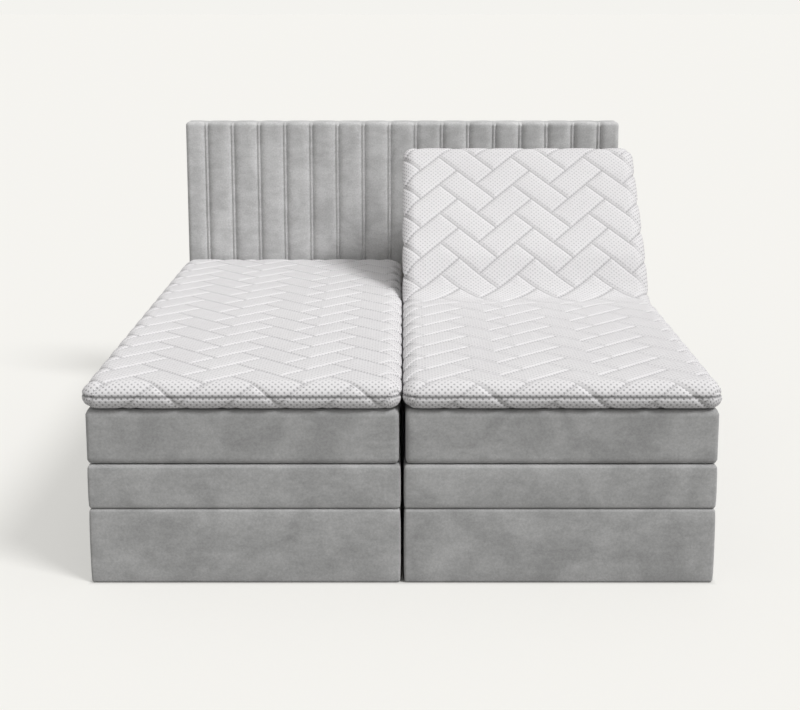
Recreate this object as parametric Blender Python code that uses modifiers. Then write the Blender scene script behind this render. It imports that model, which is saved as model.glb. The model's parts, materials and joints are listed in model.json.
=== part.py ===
"""Continental bed with two motorised halves, two mattresses, two toppers and one headboard.

Metres, +Z up. +X is to the right seen from the foot end, +Y runs to the headboard.
Each half is built in its own space: x from the half's middle, y from the front of its casing.
A part that moves hangs from an empty on its own hinge line.
"""
import math

import bmesh
import bpy
from mathutils import Matrix, Vector

# ---- casings and headboard ----
CASING_LENGTH = 2.000
CASING_INNER = 0.0045          # gap to the bed's middle line
CASING_OUTER = 0.900
CASING_WALL = 0.0275
LOWER_TOP = 0.2240
UPPER_BOTTOM = 0.2245
UPPER_TOP = 0.3545
BOTTOM_BOARD = 0.012
HALF_CENTRE = (CASING_INNER + CASING_OUTER) / 2

HEADBOARD_FRONT = 2.018        # from the front of the casings
HEADBOARD_DEPTH = 0.087
HEADBOARD_HALF_WIDTH = 0.900
HEADBOARD_TOP = 1.166
HEADBOARD_RETURN = 0.026       # padding over the edge of the board
HEADBOARD_PAD = 0.042
HEADBOARD_BACK_PANEL = 0.0085

# ---- bedding ----
MATTRESS_BOTTOM = 0.3550
MATTRESS_TOP = 0.5195
TOPPER_BOTTOM = 0.5200
TOPPER_TOP = 0.6000
MATTRESS_INNER, MATTRESS_OUTER = 0.0033, 0.907
TOPPER_INNER, TOPPER_OUTER = 0.0020, 0.910
TOPPER_OVERHANG = 0.012        # in front of the casing
BEDDING_HEAD = 1.995           # head end of both layers
BEDDING_GAP = 0.0005

# The model is centred on its own depth, from the topper's front to the headboard's back.
FRONT_Y = TOPPER_OVERHANG - (TOPPER_OVERHANG + HEADBOARD_FRONT + HEADBOARD_DEPTH) / 2

# ---- hinge lines, as distances from the front of the casing ----
PIN_Z = 0.318                  # frame hinges
BACK_PIN = 1.297
THIGH_PIN = 0.926
KNEE_PIN = 0.600
FOLD_Z = 0.520                 # the bedding folds where the topper lies on the mattress
BACK_FOLD = 1.220
THIGH_FOLD = 0.972
KNEE_FOLD = 0.634
BACK_AT_REST = {"left": 0.0, "right": math.radians(43.0)}

# ---- section frames, in a section's own space: y away from its hinge, z from the pin ----
BEAM_INNER, BEAM_OUTER = 0.355, 0.385
CALF_BEAM_INNER, CALF_BEAM_OUTER = 0.322, 0.352
BEAM_BOTTOM, BEAM_TOP = -0.019, 0.015
BEAM_NOSE = 0.018              # beam past the pin
CROSS_BOTTOM, CROSS_TOP = -0.015, 0.011
CROSS_WIDTH = 0.030
CROSS_FROM_END = 0.075
BACK_END = 0.6725
THIGH_END = THIGH_PIN - KNEE_PIN
CALF_END = KNEE_PIN - 0.030
PIN_RADIUS = 0.0080
PIN_BORE = 0.0085

# ---- slats ----
STRIP_BOTTOM, STRIP_TOP = 0.0153, 0.0263
SLAT_BOTTOM, SLAT_TOP = 0.0230, 0.0310
SLAT_WIDTH = 0.038
SLAT_PITCH = 0.062
SLAT_START = 0.034             # clear of the hinge
SLAT_OVERHANG = 0.004

# ---- lift tubes, arms and cam shoes ----
LIFT_OUT, LIFT_DOWN = 0.060, 0.085      # tube from the hinge pin
LIFT_RADIUS = math.hypot(LIFT_OUT, LIFT_DOWN)
TUBE_RADIUS = 0.0125
TUBE_BORE = 0.0137
TUBE_HALF_LENGTH = 0.415
ROLLER_RADIUS = 0.020
ROLLER_GAP = 0.0008
SHOE_CENTRE_RISE = 0.030
BACK_ARM = 0.280
LEG_ARM = 0.190
ARM_HALF_HEIGHT = 0.012
ARM_X = (0.208, 0.216)
ROLLER_X = (0.190, 0.2085)
SHOE_X = (0.194, 0.202)
SHOE_TOP = -0.008
SHOE_MARGIN = math.radians(12)
BACK_TRAVEL = math.radians(45)
LEG_TRAVEL = math.radians(30)

# ---- base frame ----
RAIL_X = (0.400, 0.4198)
RAIL_Z = (0.272, 0.345)
RAIL_ENDS = (0.028, 1.972)
PLATE_BOTTOM = 0.212
PLATE_HALF = 0.022
LEDGE_X = (0.355, 0.402)
LEDGE_Z = (0.303, 0.333)
END_BAR_Z = (0.276, 0.296)
SEAT_BAR_Z = (0.2725, 0.294)
BAR_WIDTH = 0.025

# ---- drive ----
HOUSING_HALF_WIDTH = 0.075
HOUSING_Z = (0.180, 0.268)
HOUSING_END = 0.045            # past each lift tube
MOTOR_HALF_WIDTH = 0.055
MOTOR_HALF_LENGTH = 0.150
MOTOR_BOTTOM = 0.135
CONTROL_X = (0.120, 0.280)
CONTROL_Y = (1.850, 1.965)
CONTROL_Z = (0.230, 0.2757)


# ---- collections and finishes ----
for item in list(bpy.data.objects):
    bpy.data.objects.remove(item)

PARTS = bpy.data.collections.new("adjustable_bed")
CUTTERS = bpy.data.collections.new("cutters")
for group in (PARTS, CUTTERS):
    bpy.context.scene.collection.children.link(group)


def finish(name, color, roughness, metallic=0.0):
    """A plain Principled material."""
    material = bpy.data.materials.new(name)
    material.use_nodes = True
    shader = material.node_tree.nodes["Principled BSDF"]
    shader.inputs["Base Color"].default_value = (*color, 1.0)
    shader.inputs["Roughness"].default_value = roughness
    shader.inputs["Metallic"].default_value = metallic
    return material


VELVET = (0.270, 0.275, 0.280)


# ---- shape helpers ----
def as_object(name, mesh, collection, material=None, parent=None):
    """Link a mesh under its parent empty."""
    item = bpy.data.objects.new(name, mesh)
    item.parent = parent
    if material:
        mesh.materials.append(material)
    collection.objects.link(item)
    if collection is CUTTERS:
        item.hide_render = True
        item.display_type = "WIRE"
    return item


def pivot(name, location, parent=None, angle=0.0):
    """An empty on a hinge line that runs along X."""
    empty = bpy.data.objects.new(name, None)
    empty.location = location
    empty.rotation_euler.x = angle
    empty.parent = parent
    PARTS.objects.link(empty)
    return empty


def box_mesh(name, boxes):
    """One mesh of separate boxes, each given by its low and high corners."""
    bm = bmesh.new()
    for low, high in boxes:
        low, high = Vector(low), Vector(high)
        place = Matrix.Translation((low + high) / 2) @ Matrix.Diagonal((*(high - low), 1.0))
        bmesh.ops.create_cube(bm, size=1.0, matrix=place)
    mesh = bpy.data.meshes.new(name)
    bm.to_mesh(mesh)
    bm.free()
    return mesh


def rod_mesh(name, rods, segments=24):
    """One mesh of separate round rods along X: (x0, x1, y, z, radius)."""
    bm = bmesh.new()
    for x0, x1, y, z, radius in rods:
        place = Matrix.Translation(((x0 + x1) / 2, y, z)) @ Matrix.Rotation(math.pi / 2, 4, "Y")
        bmesh.ops.create_cone(bm, cap_ends=True, segments=segments, radius1=radius,
                              radius2=radius, depth=abs(x1 - x0), matrix=place)
    mesh = bpy.data.meshes.new(name)
    bm.to_mesh(mesh)
    bm.free()
    mesh.shade_smooth()
    mesh.set_sharp_from_angle(angle=math.radians(40))
    return mesh


def prism_mesh(name, outline, x_ranges):
    """One mesh of flat plates: an outline of (y, z) points, as thick as each x range."""
    bm = bmesh.new()
    for x0, x1 in x_ranges:
        curve = bpy.data.curves.new(name, "CURVE")
        curve.dimensions = "2D"
        curve.fill_mode = "BOTH"
        curve.extrude = abs(x1 - x0) / 2
        spline = curve.splines.new("POLY")
        spline.points.add(len(outline) - 1)
        for point, (y, z) in zip(spline.points, outline):
            point.co = (y, z, 0.0, 1.0)
        spline.use_cyclic_u = True
        guide = bpy.data.objects.new(name, curve)
        CUTTERS.objects.link(guide)
        plate = bpy.data.meshes.new_from_object(guide.evaluated_get(
            bpy.context.evaluated_depsgraph_get()))
        # The curve's x, y and z become the plate's y, z and x.
        turn = Matrix(((0, 0, 1, (x0 + x1) / 2), (1, 0, 0, 0), (0, 1, 0, 0), (0, 0, 0, 1)))
        plate.transform(turn)
        bm.from_mesh(plate)
        bpy.data.objects.remove(guide)
    bmesh.ops.remove_doubles(bm, verts=bm.verts, dist=0.00001)
    bmesh.ops.recalc_face_normals(bm, faces=bm.faces)
    mesh = bpy.data.meshes.new(name)
    bm.to_mesh(mesh)
    bm.free()
    return mesh


def boolean(item, operation, mesh):
    """Join a mesh to an object, or cut it away."""
    tool = as_object(f"{item.name}_{operation.lower()}_{len(item.modifiers)}", mesh, CUTTERS,
                     parent=item.parent)
    modifier = item.modifiers.new(operation.title(), "BOOLEAN")
    modifier.operation = operation
    modifier.object = tool
    modifier.solver = "EXACT"


def bevel(item, width, segments=2):
    """Round an object's edges."""
    modifier = item.modifiers.new("Round", "BEVEL")
    modifier.width = width
    modifier.segments = segments
    modifier.limit_method = "ANGLE"


def both(low, high):
    """A span of x on the right and its mirror image on the left."""
    return ((-high, -low), (low, high))


# ---- sub-parts of one half ----
def casings(side, base, velvet):
    """The lower box with its bottom board, and the upper band."""
    half = CASING_OUTER - HALF_CENTRE
    inside = half - CASING_WALL
    lower = as_object(f"{side}_lower_casing", box_mesh("lower", [
        ((-half, 0, 0), (half, CASING_LENGTH, LOWER_TOP))]), PARTS, velvet, base)
    bevel(lower, 0.006)
    boolean(lower, "DIFFERENCE", box_mesh("hollow", [
        ((-inside, CASING_WALL, BOTTOM_BOARD),
         (inside, CASING_LENGTH - CASING_WALL, LOWER_TOP + 0.05))]))
    upper = as_object(f"{side}_upper_casing", box_mesh("upper", [
        ((-half, 0, UPPER_BOTTOM), (half, CASING_LENGTH, UPPER_TOP))]), PARTS, velvet, base)
    bevel(upper, 0.006)
    boolean(upper, "DIFFERENCE", box_mesh("hollow", [
        ((-inside, CASING_WALL, UPPER_BOTTOM - 0.05),
         (inside, CASING_LENGTH - CASING_WALL, UPPER_TOP + 0.05))]))


def base_frame(side, base, steel):
    """Rails, cross bars, seat ledges and the plates that carry the lift tubes."""
    tubes = (THIGH_PIN - LIFT_OUT, BACK_PIN + LIFT_OUT)
    rails = [((x0, RAIL_ENDS[0], RAIL_Z[0]), (x1, RAIL_ENDS[1], RAIL_Z[1]))
             for x0, x1 in both(*RAIL_X)]
    frame = as_object(f"{side}_base_frame", box_mesh("rails", rails), PARTS, steel, base)
    reach = RAIL_X[0] + 0.004
    bars = [((-reach, y, z[0]), (reach, y + BAR_WIDTH, z[1])) for y, z in (
        (0.030, END_BAR_Z), (THIGH_PIN + 0.08, SEAT_BAR_Z),
        (BACK_PIN - 0.08 - BAR_WIDTH, SEAT_BAR_Z), (1.970 - BAR_WIDTH, END_BAR_Z))]
    boolean(frame, "UNION", box_mesh("bars", bars))
    fixtures = [((x0, THIGH_PIN + SLAT_START, LEDGE_Z[0]), (x1, BACK_PIN - SLAT_START, LEDGE_Z[1]))
                for x0, x1 in both(*LEDGE_X)]
    plate_x = (RAIL_X[0] + 0.001, RAIL_X[1] - 0.001)
    fixtures += [((x0, y - PLATE_HALF, PLATE_BOTTOM), (x1, y + PLATE_HALF, RAIL_Z[0] + 0.01))
                 for y in tubes for x0, x1 in both(*plate_x)]
    boolean(frame, "UNION", box_mesh("fixtures", fixtures))
    bores = [(-0.43, 0.43, y, PIN_Z, PIN_BORE) for y in (THIGH_PIN, BACK_PIN)]
    bores += [(-0.43, 0.43, y, PIN_Z - LIFT_DOWN, TUBE_BORE) for y in tubes]
    boolean(frame, "DIFFERENCE", rod_mesh("bores", bores))


def slat_deck(name, parent, y0, y1, beam, pin_z, material):
    """Cross slats held in two strips that lie on the beams."""
    low, high = min(y0, y1), max(y0, y1)
    strips = [((x0, low, pin_z + STRIP_BOTTOM), (x1, high, pin_z + STRIP_TOP))
              for x0, x1 in both(*beam)]
    deck = as_object(name, box_mesh("strips", strips), PARTS, material, parent)
    count = int((high - low - SLAT_WIDTH - 0.008) / SLAT_PITCH) + 1
    first = (low + high) / 2 - (count - 1) * SLAT_PITCH / 2
    reach = beam[1] - SLAT_OVERHANG
    slats = [((-reach, first + i * SLAT_PITCH - SLAT_WIDTH / 2, pin_z + SLAT_BOTTOM),
              (reach, first + i * SLAT_PITCH + SLAT_WIDTH / 2, pin_z + SLAT_TOP))
             for i in range(count)]
    boolean(deck, "UNION", box_mesh("slats", slats))


def shoe_outline(outward, arm, travel):
    """The plate under a section, whose lower edge is an arc that the roller follows."""
    tilt = math.asin(SHOE_CENTRE_RISE / arm)
    centre_y, centre_z = arm * math.cos(tilt), SHOE_CENTRE_RISE
    radius = LIFT_RADIUS - ROLLER_RADIUS - ROLLER_GAP
    start = math.atan2(-LIFT_DOWN, LIFT_OUT) + SHOE_MARGIN
    sweep = travel + 2 * SHOE_MARGIN
    steps = 14
    arc = [(centre_y + radius * math.cos(start - sweep * i / steps),
            centre_z + radius * math.sin(start - sweep * i / steps)) for i in range(steps + 1)]
    outline = arc + [(arc[-1][0], SHOE_TOP), (arc[0][0], SHOE_TOP)]
    return [(outward * y, z) for y, z in outline], centre_y


def section_frame(name, parent, outward, end, beam, steel, shoe=None, bores=(0.0,)):
    """Two beams and cross bars, with cam shoes where a lift arm pushes."""
    def span(a, b):
        return min(outward * a, outward * b), max(outward * a, outward * b)

    y0, y1 = span(-BEAM_NOSE, end)
    beams = [((x0, y0, BEAM_BOTTOM), (x1, y1, BEAM_TOP)) for x0, x1 in both(*beam)]
    frame = as_object(name, box_mesh("beams", beams), PARTS, steel, parent)
    reach = beam[0] + 0.006
    stations = [0.055, end - CROSS_FROM_END]
    if shoe:
        outline, shoe_y = shoe_outline(outward, *shoe)
        stations.append(shoe_y)
    else:
        stations.append(end / 2)
    bars = []
    for station in stations:
        a, b = span(station - CROSS_WIDTH / 2, station + CROSS_WIDTH / 2)
        bars.append(((-reach, a, CROSS_BOTTOM), (reach, b, CROSS_TOP)))
    boolean(frame, "UNION", box_mesh("bars", bars))
    if shoe:
        boolean(frame, "UNION", prism_mesh("shoes", outline, both(*SHOE_X)))
    holes = [(-0.43, 0.43, outward * y, 0.0, PIN_BORE) for y in bores]
    boolean(frame, "DIFFERENCE", rod_mesh("bores", holes))


def lift_tube(name, parent, outward, arm, steel):
    """A tube with two arms, each with a roller at its end."""
    tube = as_object(name, rod_mesh("tube", [
        (-TUBE_HALF_LENGTH, TUBE_HALF_LENGTH, 0, 0, TUBE_RADIUS)]), PARTS, steel, parent)
    tilt = math.asin(SHOE_CENTRE_RISE / arm)
    end_y, end_z = arm * math.cos(tilt), arm * math.sin(tilt)
    steps = 6
    outline = []
    for y, z, start in ((end_y, end_z, tilt - math.pi / 2), (0.0, 0.0, tilt + math.pi / 2)):
        outline += [(outward * (y + ARM_HALF_HEIGHT * math.cos(start + math.pi * i / steps)),
                     z + ARM_HALF_HEIGHT * math.sin(start + math.pi * i / steps))
                    for i in range(steps + 1)]
    boolean(tube, "UNION", prism_mesh("arms", outline, both(*ARM_X)))
    rollers = [(x0, x1, outward * end_y, end_z, ROLLER_RADIUS) for x0, x1 in both(*ROLLER_X)]
    boolean(tube, "UNION", rod_mesh("rollers", rollers))


def shaft(name, parent, y, z, half_length, steel):
    """A plain round hinge shaft."""
    as_object(name, rod_mesh("shaft", [(-half_length, half_length, y, z, PIN_RADIUS)]),
              PARTS, steel, parent)


def drive(side, base, plastic):
    """The twin motor housing round both lift tubes, and the control unit with its inlet."""
    tubes = (THIGH_PIN - LIFT_OUT, BACK_PIN + LIFT_OUT)
    middle = sum(tubes) / 2
    housing = as_object(f"{side}_motor_housing", box_mesh("housing", [
        ((-HOUSING_HALF_WIDTH, tubes[0] - HOUSING_END, HOUSING_Z[0]),
         (HOUSING_HALF_WIDTH, tubes[1] + HOUSING_END, HOUSING_Z[1]))]), PARTS, plastic, base)
    boolean(housing, "UNION", box_mesh("motors", [
        ((-MOTOR_HALF_WIDTH, middle - MOTOR_HALF_LENGTH, MOTOR_BOTTOM),
         (MOTOR_HALF_WIDTH, middle + MOTOR_HALF_LENGTH, HOUSING_Z[0] + 0.02))]))
    bevel(housing, 0.008)
    boolean(housing, "DIFFERENCE", rod_mesh("bores", [
        (-0.1, 0.1, y, PIN_Z - LIFT_DOWN, TUBE_BORE) for y in tubes]))
    unit = as_object(f"{side}_control_unit", box_mesh("unit", [
        ((CONTROL_X[0], CONTROL_Y[0], CONTROL_Z[0]), (CONTROL_X[1], CONTROL_Y[1], CONTROL_Z[1]))]),
        PARTS, plastic, base)
    bevel(unit, 0.004)
    middle_x = sum(CONTROL_X) / 2
    boolean(unit, "DIFFERENCE", box_mesh("inlet", [
        ((middle_x - 0.014, CONTROL_Y[0] - 0.02, CONTROL_Z[0] + 0.012),
         (middle_x + 0.014, CONTROL_Y[0] + 0.016, CONTROL_Z[0] + 0.034))]))


def bedding(side, sign, base, pivots, mattress_fabric, topper_fabric):
    """Mattress and topper, each in four lengths that meet at the folds."""
    layers = {
        "mattress": (MATTRESS_INNER, MATTRESS_OUTER, MATTRESS_BOTTOM, MATTRESS_TOP, 0.0,
                     mattress_fabric),
        "topper": (TOPPER_INNER, TOPPER_OUTER, TOPPER_BOTTOM, TOPPER_TOP, TOPPER_OVERHANG,
                   topper_fabric)}
    angle = BACK_AT_REST[side]
    for layer, (inner, outer, z0, z1, front, fabric) in layers.items():
        edges = sorted((sign * (inner - HALF_CENTRE), sign * (outer - HALF_CENTRE)))
        low, high = z0 - FOLD_Z, z1 - FOLD_Z
        lengths = {"back": (BEDDING_GAP, BEDDING_HEAD - BACK_FOLD),
                   "thigh": (KNEE_FOLD - THIGH_FOLD, -BEDDING_GAP),
                   "calf": (-KNEE_FOLD - front, -BEDDING_GAP)}
        for part, (y0, y1) in lengths.items():
            outline = [(y0, low), (y1, low), (y1, high), (y0, high)]
            as_object(f"{side}_{layer}_{part}", prism_mesh(layer, outline, [edges]), PARTS,
                      fabric, pivots[part])
        # The seat length ends on the raised back's own end face.
        head = [(BACK_FOLD - BEDDING_GAP - h * math.sin(angle), FOLD_Z + h * math.cos(angle))
                for h in (low, high)]
        if layer == "topper":
            head = [head[0], (BACK_FOLD - BEDDING_GAP - high * math.tan(angle), z1)]
        outline = [(THIGH_FOLD, z0), *head, (THIGH_FOLD, z1)]
        if layer == "mattress":
            head[1] = (BACK_FOLD - BEDDING_GAP - high * math.tan(angle), z1)
            corner = BACK_FOLD - low * math.tan(angle / 2)
            outline = [(THIGH_FOLD, z0), (corner, z0), *head, (THIGH_FOLD, z1)]
            if angle == 0.0:
                outline.pop(1)
        as_object(f"{side}_{layer}_seat", prism_mesh(layer, outline, [edges]), PARTS, fabric, base)


def half(side, sign):
    """Everything in one half of the bed."""
    velvet = finish(f"{side}_velvet", VELVET, 0.85)
    mattress_velvet = finish(f"{side}_mattress_velvet", VELVET, 0.85)
    knit = finish(f"{side}_topper_knit", (0.740, 0.735, 0.735), 0.90)
    steel = finish(f"{side}_frame_steel", (0.035, 0.036, 0.038), 0.50, 0.6)
    bright = finish(f"{side}_bright_steel", (0.560, 0.570, 0.580), 0.35, 1.0)
    birch = finish(f"{side}_birch", (0.620, 0.450, 0.270), 0.55)
    plastic = finish(f"{side}_drive_plastic", (0.025, 0.025, 0.027), 0.60)

    base = pivot(f"{side}_base", (sign * HALF_CENTRE, FRONT_Y, 0.0))
    angle = BACK_AT_REST[side]
    back = pivot(f"{side}_back_pivot", (0, BACK_PIN, PIN_Z), base, angle)
    thigh = pivot(f"{side}_thigh_pivot", (0, THIGH_PIN, PIN_Z), base)
    calf = pivot(f"{side}_knee_pivot", (0, KNEE_PIN - THIGH_PIN, 0), thigh)
    back_lift = pivot(f"{side}_back_lift_pivot",
                      (0, BACK_PIN + LIFT_OUT, PIN_Z - LIFT_DOWN), base, angle)
    leg_lift = pivot(f"{side}_leg_lift_pivot",
                     (0, THIGH_PIN - LIFT_OUT, PIN_Z - LIFT_DOWN), base)
    back_fold = pivot(f"{side}_back_fold", (0, BACK_FOLD, FOLD_Z), base, angle)
    thigh_fold = pivot(f"{side}_thigh_fold", (0, THIGH_FOLD, FOLD_Z), base)
    knee_fold = pivot(f"{side}_knee_fold", (0, KNEE_FOLD - THIGH_FOLD, 0), thigh_fold)

    casings(side, base, velvet)
    base_frame(side, base, steel)
    beam, calf_beam = (BEAM_INNER, BEAM_OUTER), (CALF_BEAM_INNER, CALF_BEAM_OUTER)
    slat_deck(f"{side}_seat_slats", base, THIGH_PIN + SLAT_START, BACK_PIN - SLAT_START, beam,
              PIN_Z, birch)
    section_frame(f"{side}_back_frame", back, 1, BACK_END, beam, steel, (BACK_ARM, BACK_TRAVEL))
    slat_deck(f"{side}_back_slats", back, SLAT_START, BACK_END, beam, 0.0, birch)
    section_frame(f"{side}_thigh_frame", thigh, -1, THIGH_END + BEAM_NOSE, beam, steel,
                  (LEG_ARM, LEG_TRAVEL), (0.0, THIGH_END))
    slat_deck(f"{side}_thigh_slats", thigh, -SLAT_START, -THIGH_END + SLAT_START, beam, 0.0, birch)
    section_frame(f"{side}_calf_frame", calf, -1, CALF_END, calf_beam, steel)
    slat_deck(f"{side}_calf_slats", calf, -SLAT_START, -CALF_END, calf_beam, 0.0, birch)

    lift_tube(f"{side}_back_lift_tube", back_lift, 1, BACK_ARM, bright)
    lift_tube(f"{side}_leg_lift_tube", leg_lift, -1, LEG_ARM, bright)
    shaft(f"{side}_back_hinge_shaft", base, BACK_PIN, PIN_Z, RAIL_X[1], bright)
    shaft(f"{side}_thigh_hinge_shaft", base, THIGH_PIN, PIN_Z, RAIL_X[1], bright)
    shaft(f"{side}_knee_hinge_shaft", thigh, KNEE_PIN - THIGH_PIN, 0.0, BEAM_OUTER + 0.003, bright)
    drive(side, base, plastic)
    folds = {"back": back_fold, "thigh": thigh_fold, "calf": knee_fold}
    bedding(side, sign, base, folds, mattress_velvet, knit)


# ---- shared parts ----
def headboard():
    """A board with a padded shell on its front and edges, and a thin panel behind."""
    base = pivot("headboard_base", (0, FRONT_Y + HEADBOARD_FRONT, 0))
    width, top = HEADBOARD_HALF_WIDTH, HEADBOARD_TOP
    panel_front = HEADBOARD_DEPTH - HEADBOARD_BACK_PANEL
    pad = as_object("headboard_cushion", box_mesh("pad", [
        ((-width, 0, 0), (width, panel_front - 0.0004, top))]), PARTS,
        finish("headboard_velvet", VELVET, 0.85), base)
    bevel(pad, 0.012, 3)
    inner = width - HEADBOARD_RETURN
    boolean(pad, "DIFFERENCE", box_mesh("recess", [
        ((-inner, HEADBOARD_PAD, -0.05), (inner, HEADBOARD_DEPTH, top - HEADBOARD_RETURN))]))
    gap = 0.0004
    as_object("headboard_core", box_mesh("core", [
        ((-inner + gap, HEADBOARD_PAD + gap, 0.0),
         (inner - gap, panel_front - gap, top - HEADBOARD_RETURN - gap))]), PARTS,
        finish("headboard_board", (0.480, 0.360, 0.230), 0.70), base)
    panel = as_object("headboard_back_panel", box_mesh("panel", [
        ((-width + 0.004, panel_front, 0.0), (width - 0.004, HEADBOARD_DEPTH, top - 0.004))]),
        PARTS, finish("headboard_back_cloth", (0.060, 0.062, 0.065), 0.90), base)
    bevel(panel, 0.003)


def fixings(steel):
    """Brackets between the casings and the headboard, and the plate that joins the casings."""
    base = pivot("fixings_base", (0, FRONT_Y + CASING_LENGTH, 0))
    depth = HEADBOARD_FRONT - CASING_LENGTH
    for side, sign in (("left", -1), ("right", 1)):
        x = sign * HALF_CENTRE
        bracket = as_object(f"{side}_headboard_bracket", box_mesh("bracket", [
            ((x - 0.030, 0.0003, 0.100), (x + 0.030, depth - 0.0003, 0.340))]), PARTS, steel, base)
        boolean(bracket, "DIFFERENCE", box_mesh("channel", [
            ((x - 0.026, 0.0043, 0.05), (x + 0.026, depth + 0.01, 0.40))]))
    plate = as_object("casing_connector", box_mesh("plate", [
        ((-0.070, 0.0003, 0.140), (0.070, 0.0043, 0.190))]), PARTS, steel, base)
    bevel(plate, 0.001)


for side_name, side_sign in (("left", -1), ("right", 1)):
    half(side_name, side_sign)
shared_steel = finish("fixing_steel", (0.400, 0.410, 0.420), 0.40, 1.0)
headboard()
fixings(shared_steel)
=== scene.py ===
# %% [markdown]
# # A continental bed that sits up
# The bed has two motorised halves. Each one is a velvet casing, a velvet mattress and a quilted
# topper, and both share a channelled headboard. The working frame, with its hinges and lift tubes,
# comes packed. This lesson dresses it: cloth, quilting, slats, and the finish of every part.

import json
import math

import bmesh
import bpy
import numpy as np
from mathutils import Matrix, Vector

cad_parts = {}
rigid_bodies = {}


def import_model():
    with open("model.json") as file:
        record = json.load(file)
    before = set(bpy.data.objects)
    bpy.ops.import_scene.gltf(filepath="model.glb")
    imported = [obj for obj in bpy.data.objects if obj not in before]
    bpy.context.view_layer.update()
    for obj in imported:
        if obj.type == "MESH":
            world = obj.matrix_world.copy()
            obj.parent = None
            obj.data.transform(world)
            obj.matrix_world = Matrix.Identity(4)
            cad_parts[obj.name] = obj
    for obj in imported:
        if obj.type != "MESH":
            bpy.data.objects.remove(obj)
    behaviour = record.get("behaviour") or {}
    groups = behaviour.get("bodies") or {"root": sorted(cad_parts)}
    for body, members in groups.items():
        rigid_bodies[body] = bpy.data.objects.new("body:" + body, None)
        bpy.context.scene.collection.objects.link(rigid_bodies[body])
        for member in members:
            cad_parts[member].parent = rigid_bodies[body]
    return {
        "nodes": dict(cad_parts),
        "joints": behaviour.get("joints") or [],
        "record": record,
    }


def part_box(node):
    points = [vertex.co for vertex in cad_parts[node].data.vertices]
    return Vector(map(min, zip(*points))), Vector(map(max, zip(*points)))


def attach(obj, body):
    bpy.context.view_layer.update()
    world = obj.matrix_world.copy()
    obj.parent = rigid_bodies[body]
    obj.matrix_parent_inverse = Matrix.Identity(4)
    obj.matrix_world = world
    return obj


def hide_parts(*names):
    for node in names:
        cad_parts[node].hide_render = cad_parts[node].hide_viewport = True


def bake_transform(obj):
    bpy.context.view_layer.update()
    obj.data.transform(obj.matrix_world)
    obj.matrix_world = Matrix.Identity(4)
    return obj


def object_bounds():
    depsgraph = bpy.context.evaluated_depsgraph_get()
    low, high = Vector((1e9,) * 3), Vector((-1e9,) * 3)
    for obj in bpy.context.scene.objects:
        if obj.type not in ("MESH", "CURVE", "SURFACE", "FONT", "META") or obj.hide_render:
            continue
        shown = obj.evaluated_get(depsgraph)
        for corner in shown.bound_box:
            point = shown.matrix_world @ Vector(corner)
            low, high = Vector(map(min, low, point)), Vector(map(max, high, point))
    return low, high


for item in list(bpy.data.objects):
    bpy.data.objects.remove(item)
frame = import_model()
cad_low, cad_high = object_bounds()
print("bed measures", [round(v, 3) for v in cad_high - cad_low])

# %% [markdown]
# ## Where things are
# Every place comes from the frame: the casings' front, the two fold lines of the bedding, and how
# far the right back is raised at rest. The left half lies flat, so lengths are read from it.

# %% Read the frame's own measures
SIDES = {"left": -1, "right": 1}
joints = {j["name"]: j for j in frame["joints"]}
front_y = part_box("left_lower_casing")[0].y
raised = {side: -math.radians(joints[f"{side}_back_hinge"]["range_deg"][0]) for side in SIDES}
print("casing front at y", round(front_y, 4), "backs raised by", raised)


def spans(node_start, node_end):
    """The box from one node's low corner to another's high corner."""
    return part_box(node_start)[0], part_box(node_end)[1]


# %% [markdown]
# ## Helpers for meshes and nodes
# One function adds a node of any kind. One turns arrays into a mesh object. Colours are written
# as the hex values a colour chart would give, and turned to linear light by one function.

# %% Add a node, make a mesh, mix a colour
def plug(node, inputs):
    """Set a node's inputs to values, sockets, or the first output in use of other nodes."""
    for name, value in inputs.items():
        if isinstance(value, bpy.types.Node):
            value = next(output for output in value.outputs if output.enabled)
        if isinstance(value, bpy.types.NodeSocket):
            node.id_data.links.new(value, node.inputs[name])
        else:
            node.inputs[name].default_value = value


def add_node(tree, kind, inputs=None, **settings):
    """Add a node with its settings and inputs."""
    node = tree.nodes.new(kind)
    for name, value in settings.items():
        setattr(node, name, value)
    plug(node, inputs or {})
    return node


def linear(hex_colour, alpha=1.0):
    """A colour chart's hex value as linear light."""
    parts = [int(hex_colour[i:i + 2], 16) / 255 for i in (0, 2, 4)]
    return (*[c / 12.92 if c <= 0.04045 else ((c + 0.055) / 1.055) ** 2.4 for c in parts], alpha)


def per_metre(millimetres):
    """The texture scale that gives one repeat in that many millimetres."""
    return 1000.0 / millimetres


def new_object(name, data):
    """An object in the scene, at the origin."""
    item = bpy.data.objects.new(name, data)
    bpy.context.scene.collection.objects.link(item)
    return item


def mesh_object(name, points, faces, material=None):
    """A smooth mesh object from points and faces."""
    mesh = bpy.data.meshes.new(name)
    mesh.from_pydata(points, [], faces)
    mesh.shade_smooth()
    if material:
        mesh.materials.append(material)
    return new_object(name, mesh)


def new_material(name, rough, metal=0.0, uv_map=None):
    """A material, its tree, its shader, and the place on the object or on a named map."""
    material = bpy.data.materials.new(name)
    material.use_nodes = True
    tree = material.node_tree
    shader = tree.nodes["Principled BSDF"]
    plug(shader, {"Roughness": rough, "Metallic": metal})
    if uv_map:
        return material, tree, shader, add_node(tree, "ShaderNodeUVMap", uv_map=uv_map)
    return material, tree, shader, add_node(tree, "ShaderNodeTexCoord").outputs["Object"]


# %% [markdown]
# ## Velvet
# Short-pile polyester velvet is a woven ground with cut threads standing up from it. The pile
# leans a little where hands and the knife have brushed it, so the cloth shows soft cloudy
# patches, and its upright threads catch light at grazing angles. Patches are noise of hand size,
# the pile itself is a fine bump, and the edge glow is the shader's sheen.

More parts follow.
